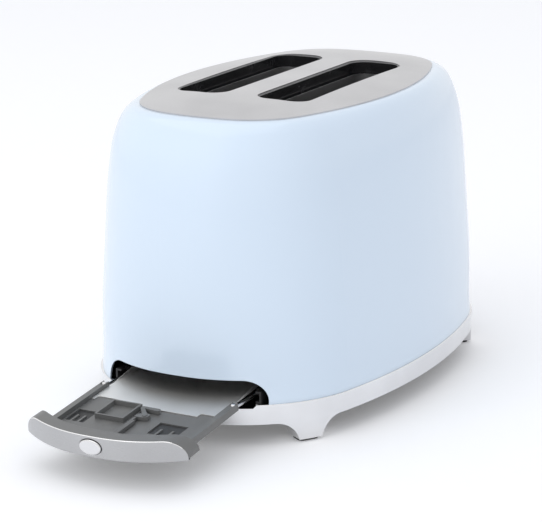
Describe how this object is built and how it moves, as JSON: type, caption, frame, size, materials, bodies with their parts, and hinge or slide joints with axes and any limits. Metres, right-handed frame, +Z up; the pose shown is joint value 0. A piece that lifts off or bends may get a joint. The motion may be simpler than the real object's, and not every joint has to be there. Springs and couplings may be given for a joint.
{
  "type": "two-slice toaster",
  "caption": "Domed-shell toaster with long bread slots, sprung bread carriage and side lever, browning dial, push buttons and a sliding crumb tray with a tipping front.",
  "frame": {"origin": "centre of the bounding box of the toaster with its tray drawn out, on the surface it stands on", "axes": "+Z up, +X from the crumb tray end to the lever end, +Y towards the left slot"},
  "size_m": [0.4278, 0.1958, 0.198],
  "materials": {
    "shell_gloss": "pale blue gloss enamel",
    "plate_satin": "satin",
    "band_polished": "polished",
    "collar_black": "black, slightly glossy",
    "mouth_sheet": "bright pressed sheet",
    "cover_black": "fine grain",
    "pad_rubber": "matte",
    "zinc_sheet": "plain zinc sheet",
    "mica": "mica board with flat resistance ribbon",
    "steel_wire": "bright wire",
    "rod_steel": "ground",
    "knob_black": "black",
    "trim_chrome": "polished",
    "board_green": "coated board",
    "copper_winding": "enamelled winding",
    "grey_plastic": "grey moulding",
    "pan_sheet": "satin sheet",
    "front_satin": "satin, darker",
    "shoe_black": "low-friction moulding"
  },
  "bodies": {
    "housing": {"body_shell": "shell_gloss", "top_plate": "plate_satin", "slot_collar_left": "collar_black", "slot_collar_right": "collar_black", "slot_mouth_left": "mouth_sheet", "slot_mouth_right": "mouth_sheet", "base_band": "band_polished", "foot_pads": "pad_rubber", "bottom_cover": "cover_black", "bottom_screws": "rod_steel", "cord_gland": "pad_rubber", "chassis_front": "zinc_sheet", "chassis_rear": "zinc_sheet", "chassis_top": "zinc_sheet", "side_reflector_left": "zinc_sheet", "side_reflector_right": "zinc_sheet", "centre_divider": "zinc_sheet", "heater_left_inner": "mica", "heater_left_outer": "mica", "heater_right_inner": "mica", "heater_right_outer": "mica", "guide_rods": "rod_steel", "rod_foot": "zinc_sheet", "rod_bridge": "zinc_sheet", "carriage_springs": "steel_wire", "hold_magnet": "copper_winding", "circuit_board": "board_green", "dial_potentiometer": "cover_black", "dial_bezel": "trim_chrome", "lever_slot_trim": "cover_black", "tray_tracks": "cover_black"},
    "carriage": {"bread_lifter_left": "zinc_sheet", "bread_lifter_right": "zinc_sheet", "carriage_bracket": "zinc_sheet", "lever_arm": "zinc_sheet", "lever_knob": "knob_black", "armature": "rod_steel"},
    "dial": {"dial_shaft": "rod_steel", "browning_dial": "knob_black"},
    "tray_runner": {"tray_runners": "rod_steel", "runner_shoes": "shoe_black"},
    "tray": {"tray_front": "front_satin", "tray_carrier": "grey_plastic", "pocket_plate": "cover_black", "crumb_pan": "pan_sheet"},
    "tray_button_body": {"tray_button": "trim_chrome"},
    "tray_latch_body": {"tray_latch": "grey_plastic"},
    "button_upper_left_body": {"button_upper_left": "trim_chrome"},
    "button_lower_left_body": {"button_lower_left": "trim_chrome"},
    "button_upper_right_body": {"button_upper_right": "trim_chrome"},
    "button_lower_right_body": {"button_lower_right": "trim_chrome"},
    "bread_guide_left_inner_body": {"bread_guide_left_inner": "steel_wire"},
    "bread_guide_left_outer_body": {"bread_guide_left_outer": "steel_wire"},
    "bread_guide_right_inner_body": {"bread_guide_right_inner": "steel_wire"},
    "bread_guide_right_outer_body": {"bread_guide_right_outer": "steel_wire"}
  },
  "joints": [
    {"name": "carriage_slide", "type": "slide", "parent": "housing", "child": "carriage", "axis": [0, 0, -1], "range_m": [0, 0.062], "stiffness_N_per_m": 150, "springref_m": -0.04, "deforming": ["carriage_springs"]},
    {"name": "dial_turn", "type": "hinge", "parent": "housing", "child": "dial", "pos_m": [0.18852, 0, 0.05], "axis": [1, 0, 0], "range_deg": [0, 270]},
    {"name": "tray_slide", "type": "slide", "parent": "housing", "child": "tray_runner", "axis": [1, 0, 0], "range_m": [0, 0.091]},
    {"name": "tray_level", "type": "hinge", "parent": "tray_runner", "child": "tray", "pos_m": [-0.12607, 0, 0.029], "axis": [0, 1, 0], "range_deg": [0, 5.8]},
    {"name": "tray_button_push", "type": "slide", "parent": "tray", "child": "tray_button_body", "axis": [0.9949, 0, 0.1011], "range_m": [0, 0.0016], "stiffness_N_per_m": 500, "springref_m": -0.0006},
    {"name": "tray_latch_turn", "type": "hinge", "parent": "tray", "child": "tray_latch_body", "pos_m": [-0.15899, -0.0035, 0.02646], "axis": [-0.1011, 0, 0.9949], "range_deg": [-25, 0]},
    {"name": "button_upper_left_press", "type": "slide", "parent": "housing", "child": "button_upper_left_body", "axis": [-1, 0, 0], "range_m": [0, 0.0012], "stiffness_N_per_m": 900, "springref_m": -0.0005},
    {"name": "button_lower_left_press", "type": "slide", "parent": "housing", "child": "button_lower_left_body", "axis": [-1, 0, 0], "range_m": [0, 0.0012], "stiffness_N_per_m": 900, "springref_m": -0.0005},
    {"name": "button_upper_right_press", "type": "slide", "parent": "housing", "child": "button_upper_right_body", "axis": [-1, 0, 0], "range_m": [0, 0.0012], "stiffness_N_per_m": 900, "springref_m": -0.0005},
    {"name": "button_lower_right_press", "type": "slide", "parent": "housing", "child": "button_lower_right_body", "axis": [-1, 0, 0], "range_m": [0, 0.0012], "stiffness_N_per_m": 900, "springref_m": -0.0005},
    {"name": "bread_guide_left_inner_close", "type": "slide", "parent": "housing", "child": "bread_guide_left_inner_body", "axis": [0, 1, 0], "range_m": [0, 0.005]},
    {"name": "bread_guide_left_outer_close", "type": "slide", "parent": "housing", "child": "bread_guide_left_outer_body", "axis": [0, -1, 0], "range_m": [0, 0.005]},
    {"name": "bread_guide_right_inner_close", "type": "slide", "parent": "housing", "child": "bread_guide_right_inner_body", "axis": [0, -1, 0], "range_m": [0, 0.005]},
    {"name": "bread_guide_right_outer_close", "type": "slide", "parent": "housing", "child": "bread_guide_right_outer_body", "axis": [0, 1, 0], "range_m": [0, 0.005]}
  ],
  "couplings": [
    {"joint": "tray_level", "follows": "tray_slide", "rad_per_m": 1.1124},
    {"joint": "tray_latch_turn", "follows": "tray_button_push", "rad_per_m": -214.4},
    {"joint": "bread_guide_left_inner_close", "follows": "carriage_slide", "ratio": 0.08064},
    {"joint": "bread_guide_left_outer_close", "follows": "carriage_slide", "ratio": 0.08064},
    {"joint": "bread_guide_right_inner_close", "follows": "carriage_slide", "ratio": 0.08064},
    {"joint": "bread_guide_right_outer_close", "follows": "carriage_slide", "ratio": 0.08064}
  ]
}
